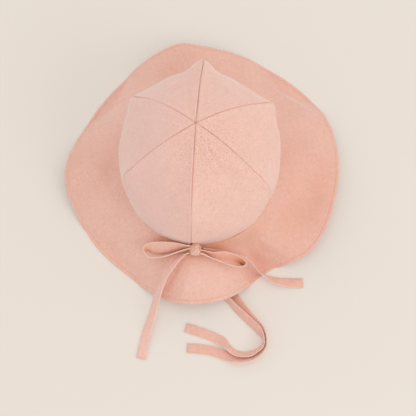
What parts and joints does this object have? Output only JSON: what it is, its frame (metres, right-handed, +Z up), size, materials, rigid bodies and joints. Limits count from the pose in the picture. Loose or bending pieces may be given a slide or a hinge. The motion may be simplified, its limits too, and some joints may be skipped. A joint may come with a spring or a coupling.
{
  "type": "baby sun hat",
  "caption": "Soft cloth baby sun hat with a panelled crown, a wide wavy brim, a bow at the back and loose chin ties.",
  "frame": {"origin": "on the surface the hat rests on, below the middle of the brim's outline", "axes": "+Z up through the crown, +Y to the front of the hat, away from the bow, +X to the right when the bow is nearest"},
  "size_m": [0.2782, 0.3342, 0.1463],
  "materials": {
    "crown_cloth": "matte",
    "brim_cloth": "matte",
    "tie_cloth": "matte"
  },
  "bodies": {
    "root": {"crown_panel_front_left": "crown_cloth", "crown_panel_left": "crown_cloth", "crown_panel_back_left": "crown_cloth", "crown_panel_back_right": "crown_cloth", "crown_panel_right": "crown_cloth", "crown_panel_front_right": "crown_cloth", "brim": "brim_cloth", "bow_knot": "tie_cloth", "bow_loop_left": "tie_cloth", "bow_loop_right": "tie_cloth", "bow_tail_left": "tie_cloth", "bow_tail_right": "tie_cloth", "chin_tie_left": "tie_cloth", "chin_tie_right": "tie_cloth"}
  },
  "joints": []
}
